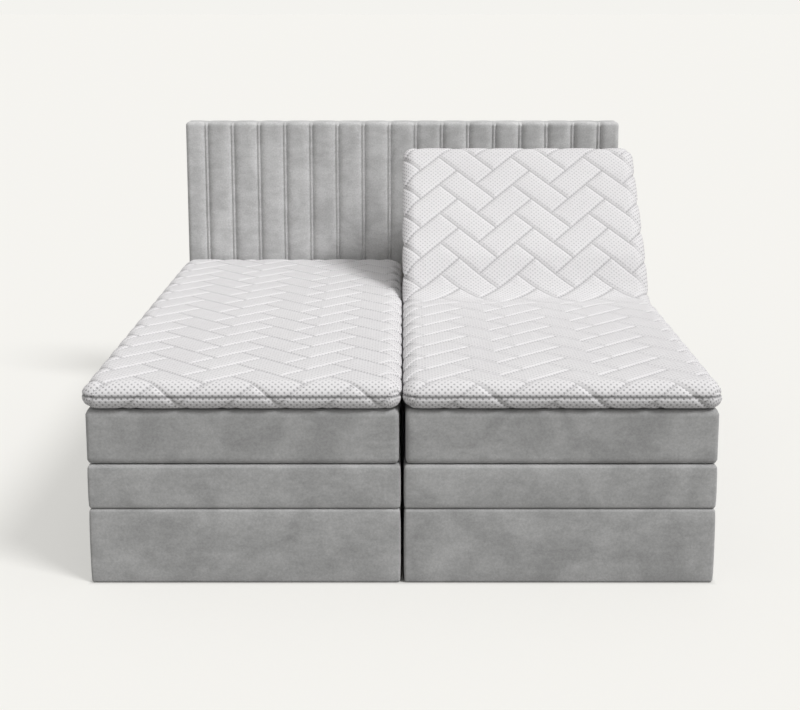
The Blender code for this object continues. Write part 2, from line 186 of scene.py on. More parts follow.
# %% Mix the velvets
def velvet(name, dark, light, cloud_mm=150.0):
    """Brushed short-pile velvet: cloudy patches, fine pile, soft edge glow."""
    material, tree, shader, place = new_material(name, 0.92)
    clouds = add_node(tree, "ShaderNodeTexNoise", {
        "Vector": place, "Scale": per_metre(cloud_mm), "Detail": 4.0, "Roughness": 0.55,
        "Distortion": 0.6})
    # Brush strokes are shorter marks, drawn out sideways.
    drawn = add_node(tree, "ShaderNodeMapping", {"Vector": place, "Scale": (0.6, 0.8, 1.5)})
    strokes = add_node(tree, "ShaderNodeTexNoise", {
        "Vector": drawn, "Scale": per_metre(32.0), "Detail": 3.0, "Roughness": 0.6})
    # Real pile is 0.3 mm across; its tufts are drawn 6 mm wide so that they show.
    pile = add_node(tree, "ShaderNodeTexNoise", {
        "Vector": place, "Scale": per_metre(6.0), "Detail": 3.0, "Roughness": 0.7})
    brushed = add_node(tree, "ShaderNodeMix", {0: 0.30, 2: clouds, 3: strokes})
    shade = add_node(tree, "ShaderNodeMapRange", {
        "Value": brushed, "From Min": 0.31, "From Max": 0.69}, interpolation_type="SMOOTHSTEP")
    colour = add_node(tree, "ShaderNodeMix", {
        0: shade, 6: linear(dark), 7: linear(light)}, data_type="RGBA")
    grain = add_node(tree, "ShaderNodeMapRange", {
        "Value": pile, "From Min": 0.3, "From Max": 0.7, "To Min": 0.86, "To Max": 1.11})
    worn = add_node(tree, "ShaderNodeMix", {
        0: 1.0, 6: colour, 7: grain}, data_type="RGBA", blend_type="MULTIPLY")
    bump = add_node(tree, "ShaderNodeBump", {
        "Height": pile, "Strength": 0.25, "Distance": 0.0006})
    plug(shader, {"Base Color": worn, "Normal": bump, "Sheen Weight": 0.35,
                  "Sheen Roughness": 0.45, "Specular IOR Level": 0.25})
    return material


CASING_VELVET = velvet("casing_brushed_velvet", "9f9f9f", "b9b9b9")
MATTRESS_VELVET = velvet("mattress_brushed_velvet", "9c9c9c", "b5b5b5")
# The headboard is the casings' velvet, painted lighter because it is lit more.
HEADBOARD_VELVET_PAINTED_LIGHTER = velvet("headboard_velvet_painted_lighter", "bababa", "d4d4d4", 120.0)


# %% [markdown]
# ## Knit for the toppers
# A topper's cover is a double knit, two layers joined at a grid of tuck stitches that draw small
# dimples into it, one about every 12 mm. The grid follows the quilting, so the pattern reads a
# map laid out along the bricks' own two directions, and not the bed's.

# %% Knit the topper cover
DIMPLE_MM = 12.5


def double_knit(name):
    """Quilted double knit: a dimple at each tuck stitch, with painted shade where the cloth is drawn
    down.
    """
    material, tree, shader, laid = new_material(name, 0.88, uv_map="quilt")
    tucks = add_node(tree, "ShaderNodeTexVoronoi", {
        "Vector": laid, "Scale": per_metre(DIMPLE_MM), "Randomness": 0.0},
        voronoi_dimensions="2D")
    dimple = add_node(tree, "ShaderNodeMapRange", {
        "Value": tucks.outputs["Distance"], "From Min": 0.06, "From Max": 0.38},
        interpolation_type="SMOOTHSTEP")
    # Yarn is 0.4 mm; it is drawn 1.5 mm wide so that it shows.
    yarn = add_node(tree, "ShaderNodeTexNoise", {
        "Vector": laid, "Scale": per_metre(1.5), "Detail": 2.0})
    clouds = add_node(tree, "ShaderNodeTexNoise", {
        "Vector": laid, "Scale": per_metre(220.0), "Detail": 2.0})
    ground = add_node(tree, "ShaderNodeMix", {
        0: clouds, 6: linear("dfdddf"), 7: linear("e8e7e8")}, data_type="RGBA")
    uneven = add_node(tree, "ShaderNodeTexNoise", {
        "Vector": laid, "Scale": per_metre(16.0), "Detail": 1.0})
    # Painted shade at the bottom of each dimple, varied at random.
    depth = add_node(tree, "ShaderNodeMix", {
        0: uneven, 6: linear("b9b8ba"), 7: linear("dcdbdd")}, data_type="RGBA")
    # Over the edge the cloth is stretched, and the dimples there get a deeper painted shade.
    edge_shade_mask = add_node(tree, "ShaderNodeAttribute", attribute_name="edge_shade_mask")
    edge_dimple_shade = add_node(tree, "ShaderNodeMix", {
        0: edge_shade_mask.outputs["Fac"], 6: depth, 7: linear("a8a7a9")}, data_type="RGBA")
    with_dimple_shade = add_node(tree, "ShaderNodeMix", {
        0: dimple, 6: edge_dimple_shade, 7: ground}, data_type="RGBA")
    # Seam and stitch lines are drawn in tight, so little light reaches the yarn there: that shade is
    # painted in.
    stitch_shade = add_node(tree, "ShaderNodeAttribute", attribute_name="stitch_shade")
    stitch_shade_amount = add_node(tree, "ShaderNodeMapRange", {
        "Value": stitch_shade.outputs["Fac"], "From Min": 0.25, "From Max": 1.0})
    sewn = add_node(tree, "ShaderNodeMix", {
        0: stitch_shade_amount, 6: with_dimple_shade, 7: linear("8f8e90")}, data_type="RGBA")
    woolly = add_node(tree, "ShaderNodeMath", {0: yarn, 1: 0.25}, operation="MULTIPLY")
    height = add_node(tree, "ShaderNodeMath", {0: dimple, 1: woolly}, operation="ADD")
    bump = add_node(tree, "ShaderNodeBump", {
        "Height": height, "Strength": 0.7, "Distance": 0.0016})
    plug(shader, {"Base Color": sewn, "Normal": bump, "Sheen Weight": 0.15,
                  "Specular IOR Level": 0.2})
    return material


TOPPER_KNIT = double_knit("topper_double_knit")


# %% [markdown]
# ## A soft slab
# Mattress, topper and headboard are all slabs with a rolled edge: a flat sheet that bends over
# its four sides and runs down to the underside. Building the sheet as one grid, with rings of
# points that follow the roll, keeps the cloth's own distances. Each point knows how far it is
# from the middle of the cloth when the cloth is laid flat, and quilting is drawn on that.

# %% Build a slab from its flat sheet and the profile of its edge
def edge_walk(count_x, count_y, fan):
    """Grid places round the sheet's edge, with the outward direction at each."""
    walk = [(i, 0, -90.0) for i in range(count_x + 1)]
    walk += [(count_x, 0, -90.0 + 90.0 * k / (fan + 1)) for k in range(1, fan + 1)]
    walk += [(count_x, j, 0.0) for j in range(count_y + 1)]
    walk += [(count_x, count_y, 90.0 * k / (fan + 1)) for k in range(1, fan + 1)]
    walk += [(i, count_y, 90.0) for i in range(count_x, -1, -1)]
    walk += [(0, count_y, 90.0 + 90.0 * k / (fan + 1)) for k in range(1, fan + 1)]
    walk += [(0, j, 180.0) for j in range(count_y, -1, -1)]
    walk += [(0, 0, 180.0 + 90.0 * k / (fan + 1)) for k in range(1, fan + 1)]
    return np.array(walk)


def edge_places(walk, cells, counts):
    """Where each step of the walk stands, and its outward direction as a vector."""
    base = np.stack([walk[:, k] * cells[k] - cells[k] * counts[k] / 2 for k in (0, 1)], axis=1)
    turn = np.radians(walk[:, 2])
    return base, np.stack([np.cos(turn), np.sin(turn)], axis=1)


def along_profile(profile, spacing):
    """Points on the edge profile at even distances, with the outward normal at each."""
    profile = np.array(profile)
    steps = np.linalg.norm(np.diff(profile, axis=0), axis=1)
    run = np.concatenate(([0.0], np.cumsum(steps)))
    count = max(2, round(run[-1] / spacing))
    at = np.linspace(0.0, run[-1], count + 1)
    widest = run[np.argmax(profile[:, 0] > profile[:, 0].max() - 1e-6)]
    at[1:-1][np.abs(at[1:-1] - widest).argmin()] = widest
    out, up = (np.interp(at, run, profile[:, k]) for k in (0, 1))
    slope = np.stack([np.gradient(out, at), np.gradient(up, at)], axis=1)
    normal = np.stack([-slope[:, 1], slope[:, 0]], axis=1)
    return at, out, up, normal / np.linalg.norm(normal, axis=1)[:, None]


def soft_slab(cells, counts, profile, ring_spacing, fan):
    """Points, faces, laid-flat places and normals of a slab centred on x and y.

    The profile runs from the sheet's edge, outwards and down, to the underside.
    """
    (cell_x, cell_y), (count_x, count_y) = cells, counts
    half_x, half_y = cell_x * count_x / 2, cell_y * count_y / 2
    at, out, up, normal = along_profile(profile, ring_spacing)
    columns, rows = np.meshgrid(np.arange(count_x + 1), np.arange(count_y + 1))
    x, y = columns.ravel() * cell_x - half_x, rows.ravel() * cell_y - half_y
    points = [np.stack([x, y, np.full_like(x, up[0])], axis=1)]
    laid = [np.stack([x, y], axis=1)]
    normals = [np.tile((0.0, 0.0, 1.0), (len(x), 1))]
    walk = edge_walk(count_x, count_y, fan)
    base, heading = edge_places(walk, cells, counts)
    for k in range(1, len(at)):
        flat = base + heading * out[k]
        points.append(np.column_stack([flat, np.full(len(flat), up[k])]))
        laid.append(base + heading * at[k])
        normals.append(np.column_stack([heading * normal[k, 0], np.full(len(flat), normal[k, 1])]))
    faces = slab_faces(count_x, count_y, walk, len(at) - 1, fan)
    return np.concatenate(points), faces, np.concatenate(laid), np.concatenate(normals)


def slab_faces(count_x, count_y, walk, rings, fan):
    """The sheet's squares, the rolled edge and the strips of the underside."""
    wide, loop = count_x + 1, len(walk)
    first = wide * (count_y + 1)
    faces = [(j * wide + i, j * wide + i + 1, (j + 1) * wide + i + 1, (j + 1) * wide + i)
             for j in range(count_y) for i in range(count_x)]
    rim = (walk[:, 1] * wide + walk[:, 0]).astype(int).tolist()
    for e in range(loop):
        n = (e + 1) % loop
        below, after = first + e, first + n
        faces.append((rim[e], below, after, rim[n]) if rim[e] != rim[n] else (rim[e], below, after))
        for ring in range(rings - 1):
            step = ring * loop
            faces.append((below + step, below + step + loop, after + step + loop, after + step))
    last = first + (rings - 1) * loop
    right = last + count_x + 1 + fan
    left = right + 2 * (count_y + 1) + 2 * fan + count_x
    for j in range(count_y):
        faces.append((left - j, left - j - 1, right + j + 1, right + j))
    corner = list(range(left, last + loop)) + list(range(last, right + 1))
    head = list(range(right + count_y, left - count_y + 1))
    return faces + [tuple(corner[::-1]), tuple(head[::-1])]


def arc(centre, radii, start, end, steps=24):
    """Points of an elliptical arc, by angle in degrees."""
    angles = np.radians(np.linspace(start, end, steps + 1))
    return [(centre[0] + radii[0] * math.cos(a), centre[1] + radii[1] * math.sin(a))
            for a in angles]


# %% [markdown]
# ## The herringbone
# The quilting is a 2:1 herringbone set at 45 degrees: bricks 100 mm wide and 200 mm long. The
# sheet's squares are cut so that 28 of them span one brick's diagonal, so every stitch line runs
# corner to corner through squares and the groove stays sharp.

# %% Draw the stitch lines
BRICK = 0.100
SQUARES_PER_DIAGONAL = 28
SQUARE = math.sqrt(2) * BRICK / SQUARES_PER_DIAGONAL


def stitch_distance(laid, apex):
    """Distance in metres from each laid-flat place to the nearest stitch line."""
    x, y = laid[:, 0] - apex[0], laid[:, 1] - apex[1]
    p = (x + y) / (math.sqrt(2) * BRICK) + 1e-6
    q = (y - x) / (math.sqrt(2) * BRICK) + 1e-6
    cell_p, cell_q = np.floor(p), np.floor(q)
    kind = np.mod(cell_p - cell_q, 4)
    in_p, in_q = p - cell_p, q - cell_q
    lies_along_p = kind < 2
    along = np.where(lies_along_p, in_p + (kind == 1), in_q + (kind == 2))
    across = np.where(lies_along_p, in_q, in_p)
    near = np.minimum(np.minimum(along, 2 - along), np.minimum(across, 1 - across))
    return np.clip(near, 0, None) * BRICK


# %% [markdown]
# ## Bending the bedding
# The bedding folds on a line between mattress and topper. A point before the fold zone stays
# with the seat, one past it turns with the back, and between them the turn grows smoothly. The
# right half rests with its back up, so its cloth is built flat and bent here into that shape.

# %% Set the fold zones and bend a flat piece up
# How far towards the head each zone starts and ends, from its fold line.
ZONES = {"back": (-0.120, 0.210), "thigh": (0.118, -0.162), "knee": (0.156, -0.164)}
BEND_ROUNDS = 60


def at_fold(side, name, reach):
    """A point at the fold's height, that far towards the head from the fold line."""
    place = joints[f"{side}_{name}_fold"]["pos_m"]
    return Vector((place[0], place[1] + reach, place[2]))


def fold_zone(side, name):
    """Start and end of a fold's zone, on flat bedding."""
    return [at_fold(side, name, reach) for reach in ZONES[name]]


def back_zone(side):
    """Start and end of the back's fold zone, at rest."""
    start, end = fold_zone(side, "back")
    fold = at_fold(side, "back", 0.0)
    return start, fold + Matrix.Rotation(raised[side], 3, "X") @ (end - fold)


def bend_up(points, side):
    """Turn flat bedding into its rest shape on that side."""
    start, end = (np.array(p) for p in back_zone(side))
    fold, way = np.array(at_fold(side, "back", 0.0)), end - start
    offset = points - fold
    turned = points.copy()
    for _ in range(BEND_ROUNDS):
        t = np.clip((turned - start) @ way / (way @ way), 0, 1)
        angle = t * t * (3 - 2 * t) * raised[side]
        turned[:, 1] = fold[1] + offset[:, 1] * np.cos(angle) - offset[:, 2] * np.sin(angle)
        turned[:, 2] = fold[2] + offset[:, 1] * np.sin(angle) + offset[:, 2] * np.cos(angle)
    return turned


# %% [markdown]
# ## Cutting a layer into its three lengths
# Cloth can follow only one hinge, so each layer is three closed lengths: back, thigh and calf.
# They meet between the fold zones. The whole layer's own normals are kept, so at rest no line
# shows there.

# %% Split a layer into its three lengths
SPLIT_BACK, SPLIT_CALF = -0.120, -0.420      # from the back's fold line towards the foot


def keep_normals(item):
    """Write the shape's own point normals into the mesh, to survive the split."""
    mesh = item.data
    values = np.zeros(len(mesh.vertices) * 3, np.float32)
    mesh.vertex_normals.foreach_get("vector", values)
    mesh.attributes.new("whole_normal", "FLOAT_VECTOR", "POINT").data.foreach_set("vector", values)


def cut_length(whole, name, low_y, high_y):
    """A closed copy of the part of a layer between two y planes."""
    bm = bmesh.new()
    bm.from_mesh(whole.data)
    outside = [f for f in bm.faces if not low_y <= f.calc_center_median().y <= high_y]
    bmesh.ops.delete(bm, geom=outside, context="FACES")
    bmesh.ops.holes_fill(bm, edges=[e for e in bm.edges if e.is_boundary], sides=0)
    mesh = bpy.data.meshes.new(name)
    bm.to_mesh(mesh)
    bm.free()
    mesh.shade_smooth()
    mesh.materials.append(whole.data.materials[0])
    normals = np.zeros(len(mesh.vertices) * 3, np.float32)
    mesh.attributes["whole_normal"].data.foreach_get("vector", normals)
    mesh.normals_split_custom_set_from_vertices(normals.reshape(-1, 3).tolist())
    mesh.attributes.remove(mesh.attributes["whole_normal"])
    return new_object(name, mesh)


def dress(side, layer, whole):
    """Split one layer into three closed lengths, and hide the packed parts they stand for."""
    fold_y = at_fold(side, "back", 0.0).y
    near, far = fold_y + SPLIT_CALF, fold_y + SPLIT_BACK
    keep_normals(whole)
    back = cut_length(whole, f"{side}_{layer}_back_length", far, 9.0)
    thigh = cut_length(whole, f"{side}_{layer}_thigh_length", near, far)
    calf = cut_length(whole, f"{side}_{layer}_calf_length", -9.0, near)
    bpy.data.objects.remove(whole)
    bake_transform(back)
    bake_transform(thigh)
    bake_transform(calf)
    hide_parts(f"{side}_{layer}_back", f"{side}_{layer}_seat")
    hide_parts(f"{side}_{layer}_thigh")
    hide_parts(f"{side}_{layer}_calf")
    for piece in (back, thigh, calf):
        print(piece.name, len(piece.data.vertices), "points")


# %% [markdown]
# ## The toppers
# A topper is a foam sheet in a quilted cover with a fully rounded edge. The cover's two halves
# meet in a border seam a little above the underside. Stitching pulls the cover down along each
# line and the foam pushes up between lines, which is a distance rule, so it is computed and not
# simulated: the groove is deepest on the line and each brick is softly crowned.

# %% Shape a topper's edge and quilt it
ROLL = 0.045
UNDER_ROLL = 0.032
SEAM_HEIGHT = 0.040
ROLL_FULLNESS = 1.65
GROOVE_DEPTH, GROOVE_SOFTNESS = 0.0052, 0.0055
BRICK_CROWN, CROWN_REACH = 0.0026, 0.018
EDGE_EASE = 0.012                     # height over which the quilting changes at the edge
SEAM_PULL, SEAM_REACH = 0.0045, 0.003
# Strength and reach of the painted shade along the stitch lines.
THREAD_SHADE, THREAD_REACH = 0.66, 0.004
QUILT_START = {"left": (0.005, 0.015), "right": (0.070, 0.020)}


def topper_profile(low, high):
    """The rounded edge: over the top, out to the seam, and under."""
    seam = low + SEAM_HEIGHT
    turn = np.radians(np.linspace(90, 0, 25))
    upper = [(ROLL * max(math.cos(a), 0.0) ** (2 / ROLL_FULLNESS),
              seam + (high - seam) * math.sin(a) ** (2 / ROLL_FULLNESS)) for a in turn]
    lower = arc((ROLL - UNDER_ROLL, seam), (UNDER_ROLL, seam - low), 0, -90)
    return upper + lower[1:]


def puff(distance):
    """How far the cover stands out, by distance from a stitch line."""
    groove = -GROOVE_DEPTH * np.exp(-distance / GROOVE_SOFTNESS)
    return groove + BRICK_CROWN * (1 - np.exp(-distance / CROWN_REACH))


def along_valleys(faces, height, squares):
    """Halve each square of the sheet along its lower diagonal, so that grooves stay unbroken."""
    flat = np.array(faces[:squares])
    a, b, c, d = (height[flat[:, k]] for k in range(4))
    first = (a + c) <= (b + d)
    halves = np.where(first[:, None, None], flat[:, [[0, 1, 2], [0, 2, 3]]],
                      flat[:, [[0, 1, 3], [1, 2, 3]]])
    return [tuple(t) for t in halves.reshape(-1, 3).tolist()] + faces[squares:]


def on_grid(place, count):
    """The grid place nearest to this one, in a sheet of that many squares."""
    half = 0.5 * (count % 2)
    return SQUARE * (round(place / SQUARE - half) + half)


def quilted_topper(side):
    """One whole quilted topper at its place, bent to its rest shape."""
    low, high = spans("left_topper_calf", "left_topper_back")
    own_low, own_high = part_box(f"{side}_topper_seat")
    crest = high.z - BRICK_CROWN
    count_x = round((own_high.x - own_low.x - 2 * ROLL) / SQUARE)
    count_y = int((high.y - low.y - 2 * ROLL) / SQUARE)
    points, faces, laid, normals = soft_slab(
        (SQUARE, SQUARE), (count_x, count_y), topper_profile(low.z, crest), SQUARE, fan=9)
    middle = ((own_low.x + own_high.x) / 2, low.y + ROLL + count_y * SQUARE / 2)
    start_x, start_y = QUILT_START[side]
    apex = (on_grid(start_x - middle[0], count_x),
            on_grid(front_y + start_y - middle[1], count_y))
    distance = stitch_distance(laid, apex)
    rise = puff(distance)
    above = points[:, 2] - low.z
    over_edge = np.clip((crest - points[:, 2]) / EDGE_EASE, 0, 1)
    rise = np.where(rise < 0, rise * (1.0 + 0.25 * over_edge), rise)
    rise = np.where(rise > 0, rise * np.clip(above / EDGE_EASE, 0, 1), rise)
    at_seam = np.exp(-np.abs(above - SEAM_HEIGHT) / SEAM_REACH) * (above < crest - low.z - 0.01)
    rise -= SEAM_PULL * at_seam
    # Painted shade along the stitch lines and the border seam.
    stitch_shade = np.maximum(THREAD_SHADE * np.exp(-distance / THREAD_REACH), at_seam)
    faces = along_valleys(faces, rise, count_x * count_y)
    points += normals * rise[:, None]
    points += np.array((*middle, 0.0))
    cover = mesh_object(f"{side}_topper_cover", bend_up(points, side).tolist(), faces, TOPPER_KNIT)
    # Masks for the painted shade: along stitch lines and seam, and over the edge.
    for label, values in (("stitch_shade", stitch_shade), ("edge_shade_mask", over_edge)):
        kept = cover.data.attributes.new(label, "FLOAT", "POINT")
        kept.data.foreach_set("value", values.astype(np.float32))
    places = np.stack([laid[:, 0] + laid[:, 1], laid[:, 1] - laid[:, 0]], axis=1) / math.sqrt(2)
    corners = np.zeros(len(cover.data.loops), np.int32)
    cover.data.loops.foreach_get("vertex_index", corners)
    sheet_map = cover.data.uv_layers.new(name="quilt")
    sheet_map.uv.foreach_set("vector", places[corners].astype(np.float32).ravel())
    return cover


for side in SIDES:
    dress(side, "topper", quilted_topper(side))


# %% [markdown]
# ## The mattresses
# A mattress is foam in a velvet cover with tight rounded edges. Its cover is made of cloth that is
# blown up a little by the foam behind it, so it is simulated: the slab is a few millimetres
# small, gets pressure from inside without gravity, and each point may move only that far.

# %% Blow up the mattress cover
MATTRESS_EDGE = 0.014
MATTRESS_SQUARE, MATTRESS_RING = 0.014, 0.010
SWELL, SWELL_FRAMES = 0.006, 20
# Fold, how far towards the head its hollow lies, and how deep the hollow is.
HOLLOWS = (("back", 0.09, 0.016), ("thigh", -0.09, 0.013), ("knee", -0.09, 0.013))
HOLLOW_REACH = 0.11


def mattress_profile(low, high):
    """Rounded top edge, upright border, rounded bottom edge."""
    r = MATTRESS_EDGE
    return arc((0.0, high - r), (r, r), 90, 0, 8) + arc((0.0, low + r), (r, r), 0, -90, 8)


def swell(item):
    """Inflate a cover by cloth simulation, moving no point further than the swell."""
    start = np.array([v.co for v in item.data.vertices])
    cloth = item.modifiers.new("Cloth", "CLOTH")
    settings = cloth.settings
    settings.quality = 4
    settings.mass = 0.4
    settings.tension_stiffness = settings.compression_stiffness = 12.0
    settings.bending_stiffness = 0.6
    settings.use_pressure = True
    settings.uniform_pressure_force = 4.0
    settings.effector_weights.gravity = 0.0
    cloth.collision_settings.use_collision = False
    for number in range(1, SWELL_FRAMES + 1):
        bpy.context.scene.frame_set(number)
    depsgraph = bpy.context.evaluated_depsgraph_get()
    blown = np.array([v.co for v in item.evaluated_get(depsgraph).data.vertices])
    item.modifiers.remove(cloth)
    bpy.context.scene.frame_set(1)
    moved = blown - start
    far = np.linalg.norm(moved, axis=1)
    moved *= (SWELL * np.tanh(far / SWELL) / np.maximum(far, 1e-9))[:, None]
    item.data.vertices.foreach_set("co", (start + moved).astype(np.float32).ravel())
    print("swelled by up to", round(1000 * float(np.linalg.norm(moved, axis=1).max()), 1), "mm")


def mattress_cover():
    """The simulated cover of one mattress, centred on x and y."""
    low, high = spans("left_mattress_calf", "left_mattress_back")
    inset = MATTRESS_EDGE + SWELL
    size = (high.x - low.x - 2 * inset, high.y - low.y - 2 * inset)
    counts = [round(s / MATTRESS_SQUARE) for s in size]
    cells = [s / c for s, c in zip(size, counts)]
    profile = mattress_profile(low.z + 0.001, high.z - SWELL * 0.6)
    points, faces, _, _ = soft_slab(cells, counts, profile, MATTRESS_RING, fan=4)
    cover = mesh_object("mattress_cover", points.tolist(), faces, MATTRESS_VELVET)
    swell(cover)
    moved = np.array([v.co for v in cover.data.vertices])
    moved[:, 2] = np.clip(moved[:, 2], low.z, high.z)
    bpy.data.objects.remove(cover)
    return moved, faces


def place_mattress(side, shape, faces):
    """One mattress at its place, with room above the slats where it folds, bent to rest."""
    low, high = spans("left_mattress_calf", "left_mattress_back")
    own_low, own_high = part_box(f"{side}_mattress_seat")
    points = shape + np.array(((own_low.x + own_high.x) / 2, (low.y + high.y) / 2, 0.0))
    inside = np.abs(shape[:, 0]) < (own_high.x - own_low.x) / 2 - MATTRESS_EDGE - 0.0015
    under = inside & (points[:, 2] < low.z + 0.01)
    for name, reach, depth in HOLLOWS:
        off = points[:, 1] - at_fold(side, name, reach).y
        points[:, 2] += np.where(under, depth * np.exp(-(off / HOLLOW_REACH) ** 4), 0.0)
    return mesh_object(f"{side}_mattress_cover", bend_up(points, side).tolist(), faces,
                       MATTRESS_VELVET)


cover_points, cover_faces = mattress_cover()
for side in SIDES:
    dress(side, "mattress", place_mattress(side, cover_points, cover_faces))


# %% [markdown]
# ## The casings
# Each half stands on two casings, boards wrapped in thin foam and velvet: a tall one below and a
# lower one for the sprung frame. The cloth is pulled round soft edges, so the face bows out by a
# few millimetres. A section of that wall is swept round the box.

# %% Wrap the casings in velvet
CASING_CORNER = 0.009
CASING_EDGE = 0.009
CASING_BOW = 0.0022
CASING_WALL = 0.0275
CASING_STEP, CASING_FAN = 0.030, 5    # spacing of the points round the plan; points per corner


def casing_section(low, high, wall):
    """The wall's section: outside up, over the rim, inside down; negative means inside."""
    r = CASING_EDGE
    reach = CASING_CORNER - CASING_BOW
    outside = arc((reach - r, low + r), (r, r), -90, 0, 5)
    outside += [(reach, low + r + (high - low - 2 * r) * k / 8) for k in range(1, 8)]
    outside += arc((reach - r, high - r), (r, r), 0, 90, 5)
    bowed = []
    for out, up in outside:
        share = (up - low) / (high - low)
        bowed.append((out + CASING_BOW * (1 - (2 * share - 1) ** 4), up))
    inner = CASING_CORNER - wall
    return bowed + [(inner, high), (inner, low)]


def swept_casing(name, box, wall):
    """Sweep the wall's section round the casing's plan."""
    low, high = box
    section = casing_section(low.z, high.z, wall)
    size = (high.x - low.x - 2 * CASING_CORNER, high.y - low.y - 2 * CASING_CORNER)
    counts = [round(s / CASING_STEP) for s in size]
    walk = edge_walk(*counts, CASING_FAN)
    base, heading = edge_places(walk, [s / c for s, c in zip(size, counts)], counts)
    middle = np.array(((low.x + high.x) / 2, (low.y + high.y) / 2))
    rings = []
    for out, up in section:
        if out >= 0:
            flat = base + heading * out
        else:
            limit = np.array(size) / 2 + out
            flat = np.clip(base, -limit, limit)
        rings.append(np.column_stack([flat + middle, np.full(len(flat), up)]))
    loop, count = len(walk), len(section)
    faces = [(k * loop + e, k * loop + (e + 1) % loop,
              (k + 1) % count * loop + (e + 1) % loop, (k + 1) % count * loop + e)
             for k in range(count) for e in range(loop)]
    item = mesh_object(name, np.concatenate(rings).tolist(), faces, CASING_VELVET)
    bm = bmesh.new()
    bm.from_mesh(item.data)
    bmesh.ops.remove_doubles(bm, verts=bm.verts, dist=1e-6)
    bmesh.ops.recalc_face_normals(bm, faces=bm.faces)
    bm.to_mesh(item.data)
    bm.free()
    item.data.set_sharp_from_angle(angle=math.radians(50))
    return item


for side in SIDES:
    for band in ("lower", "upper"):
        node = f"{side}_{band}_casing"
        casing = swept_casing(f"{side}_{band}_casing_cover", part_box(node), CASING_WALL)
        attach(casing, "base")
        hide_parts(node)


# %% [markdown]
# ## Rules that grow shapes
# Channels, slats and holders all repeat by a rule, so Geometry Nodes make them. A tree
# gets named inputs for its sizes, runs once on a carrier object, and its result is kept as a
# plain mesh. The same tree then serves every deck and both halves.

# %% Start a node tree and run it
SHARP_EDGE = 35.0    # degrees; faces that meet at less are shaded as one soft surface


def rule_tree(name, sizes):
    """A Geometry Nodes tree with named inputs, its input node and its output node."""
    tree = bpy.data.node_groups.new(name, "GeometryNodeTree")
    tree.interface.new_socket("Geometry", in_out="INPUT", socket_type="NodeSocketGeometry")
    tree.interface.new_socket("Geometry", in_out="OUTPUT", socket_type="NodeSocketGeometry")
    for label in sizes:
        kind = "NodeSocketInt" if label == "Count" else "NodeSocketFloat"
        tree.interface.new_socket(label, in_out="INPUT", socket_type=kind)
    entry = add_node(tree, "NodeGroupInput")
    return tree, entry.outputs


def finish_tree(tree, shape, material):
    """End a tree: real geometry, smooth, with its material."""
    real = add_node(tree, "GeometryNodeRealizeInstances", {0: shape})
    smooth = add_node(tree, "GeometryNodeSetShadeSmooth", {0: real})
    painted = add_node(tree, "GeometryNodeSetMaterial", {0: smooth, "Material": material})
    add_node(tree, "NodeGroupOutput", {0: painted})


def grow(name, tree, sizes, base=None):
    """Run a tree with these sizes and keep the result as a plain mesh object."""
    carrier = base or mesh_object(name + "_carrier", [], [])
    modifier = carrier.modifiers.new("Rule", "NODES")
    modifier.node_group = tree
    for socket in tree.interface.items_tree:
        if socket.in_out == "INPUT" and socket.name in sizes:
            modifier[socket.identifier] = sizes[socket.name]
    depsgraph = bpy.context.evaluated_depsgraph_get()
    mesh = bpy.data.meshes.new_from_object(carrier.evaluated_get(depsgraph))
    bpy.data.objects.remove(carrier)
    mesh.set_sharp_from_angle(angle=math.radians(SHARP_EDGE))
    print(name, len(mesh.polygons), "faces")
    return new_object(name, mesh)


# %% [markdown]
# ## The headboard
# The headboard is a board with foam on its front and edges, under velvet that is sewn into
# upright channels. Each pair of channels is parted by a narrow strip between two seams. The
# padded slab is built plain, with its columns set so that both seams of a pair fall on points,
# and a rule pulls it in by distance from the seams. Because the rule follows the surface's own
# normal, the channels run on over the top and scallop its edge, as the sewn cloth does.

# %% Work out the channels
HEADBOARD_PAIRS = 16
CHANNEL_PITCH = 0.1088
CHANNEL_COLUMNS = 29
COLUMN = CHANNEL_PITCH / CHANNEL_COLUMNS
SEAM_STRIP = 4 * COLUMN
CHANNEL_DEPTH, CHANNEL_FULLNESS = 0.0125, 4.0
STRIP_SWELL, PINCH_REACH = 0.0030, 0.005
HELD_SHARE = 0.2                      # what is left of the channels behind the edge
HEADBOARD_ROLL, HEADBOARD_ROW, HEADBOARD_RING = 0.015, 0.012, 0.0055


